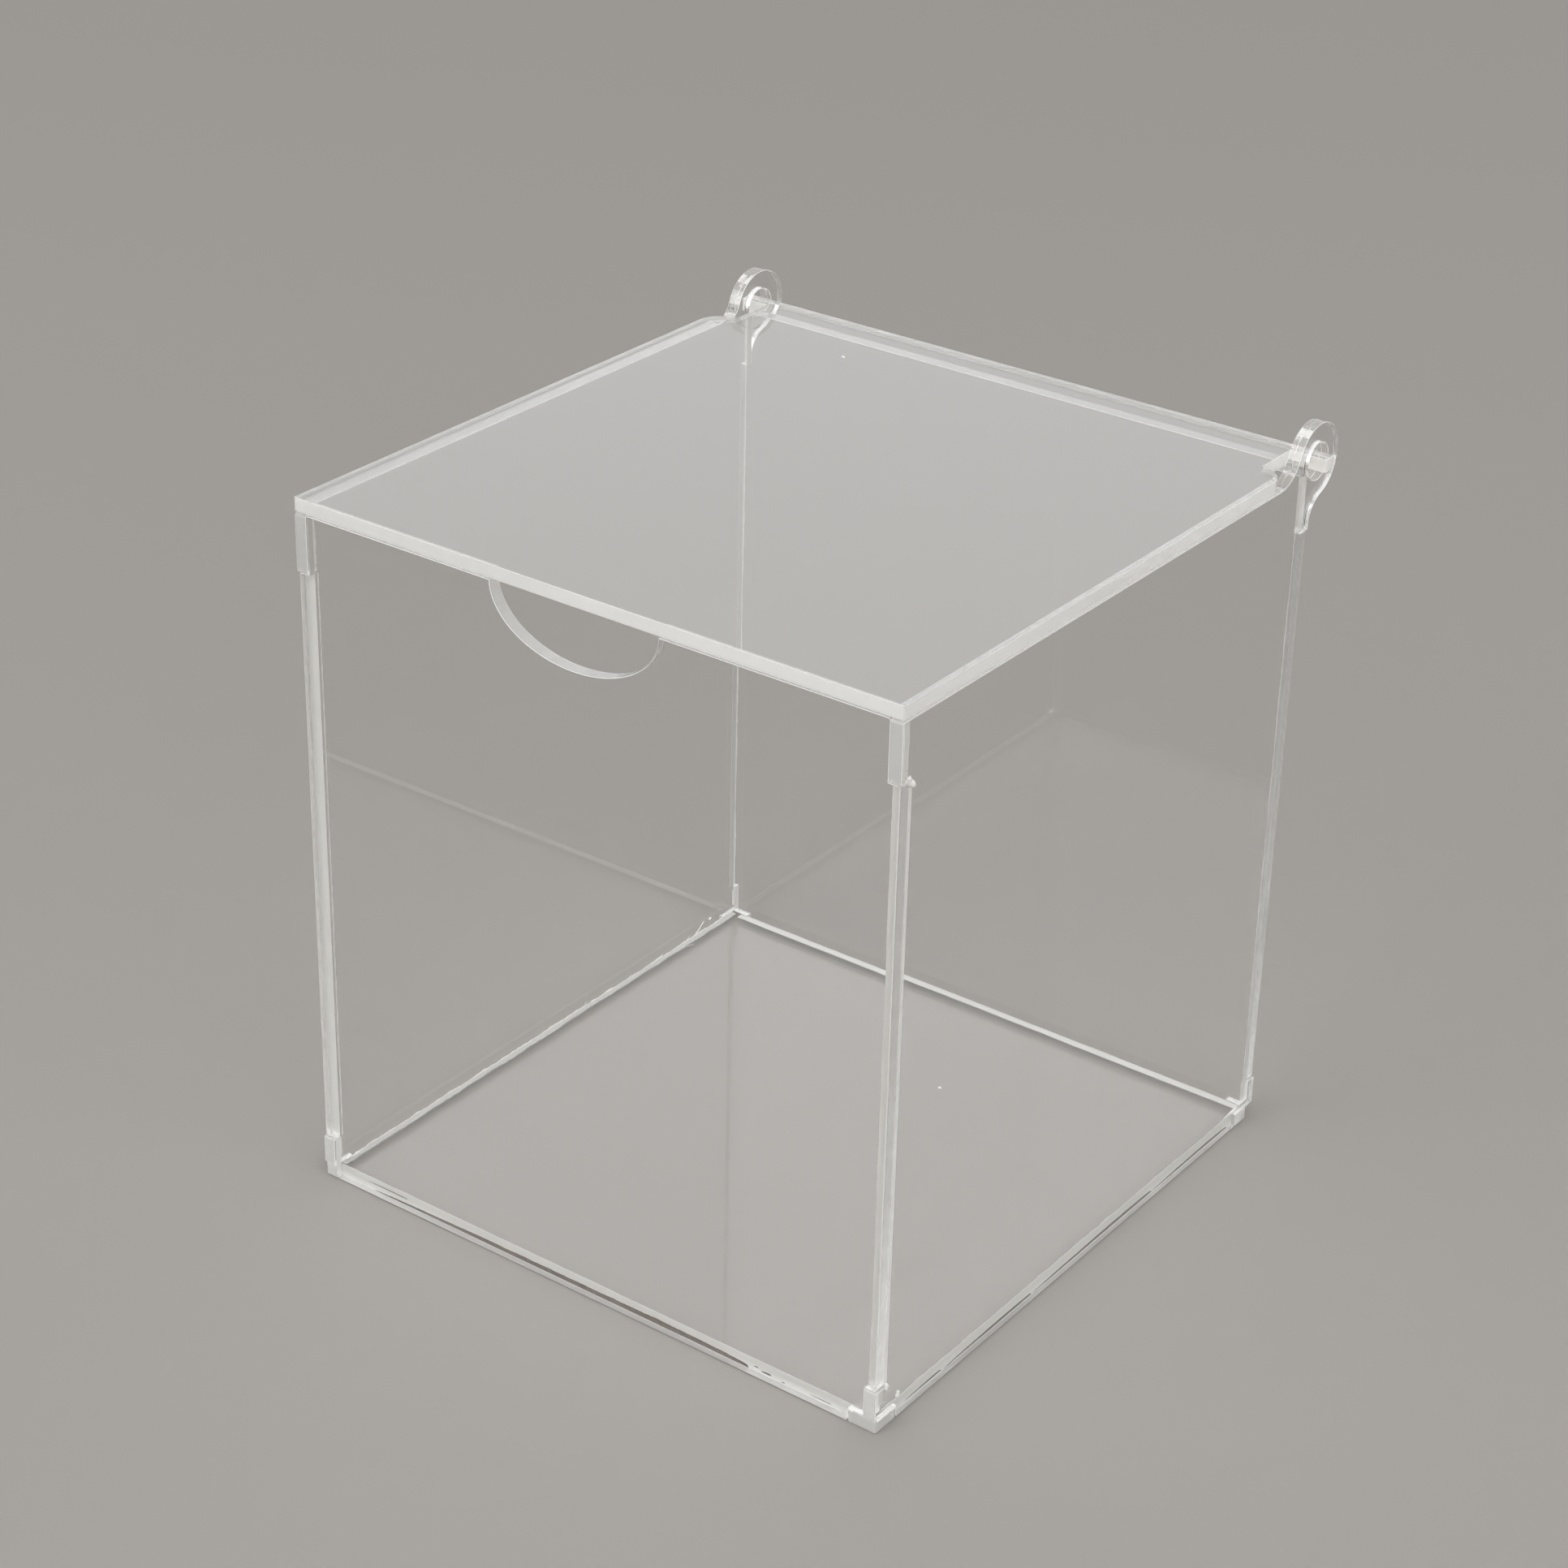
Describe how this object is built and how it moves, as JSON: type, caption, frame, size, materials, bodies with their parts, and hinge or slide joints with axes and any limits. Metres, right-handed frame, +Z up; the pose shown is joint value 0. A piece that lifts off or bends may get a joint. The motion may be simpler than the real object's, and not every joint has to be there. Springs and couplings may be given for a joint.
{
  "type": "clear acrylic box with hinged lid",
  "caption": "Clear acrylic cube-like box of finger-jointed sheet, with a rounded finger notch in the front and a flat lid hinged on round ears at the back.",
  "frame": {"origin": "centre of the footprint of the panels, on the surface that the box stands on", "axes": "+Z up, +X to the right as seen from the front, the front wall with the notch faces -Y"},
  "size_m": [0.1554, 0.161, 0.1706],
  "materials": {
    "clear_acrylic": "gloss"
  },
  "bodies": {
    "box": {"base_panel": "clear_acrylic", "front_panel": "clear_acrylic", "back_panel": "clear_acrylic", "left_side_panel": "clear_acrylic", "right_side_panel": "clear_acrylic"},
    "lid": {"lid": "clear_acrylic"}
  },
  "joints": [
    {"name": "lid_hinge", "type": "hinge", "parent": "box", "child": "lid", "pos_m": [0, 0.0771, 0.1621], "axis": [-1, 0, 0], "range_deg": [0, 270]}
  ]
}
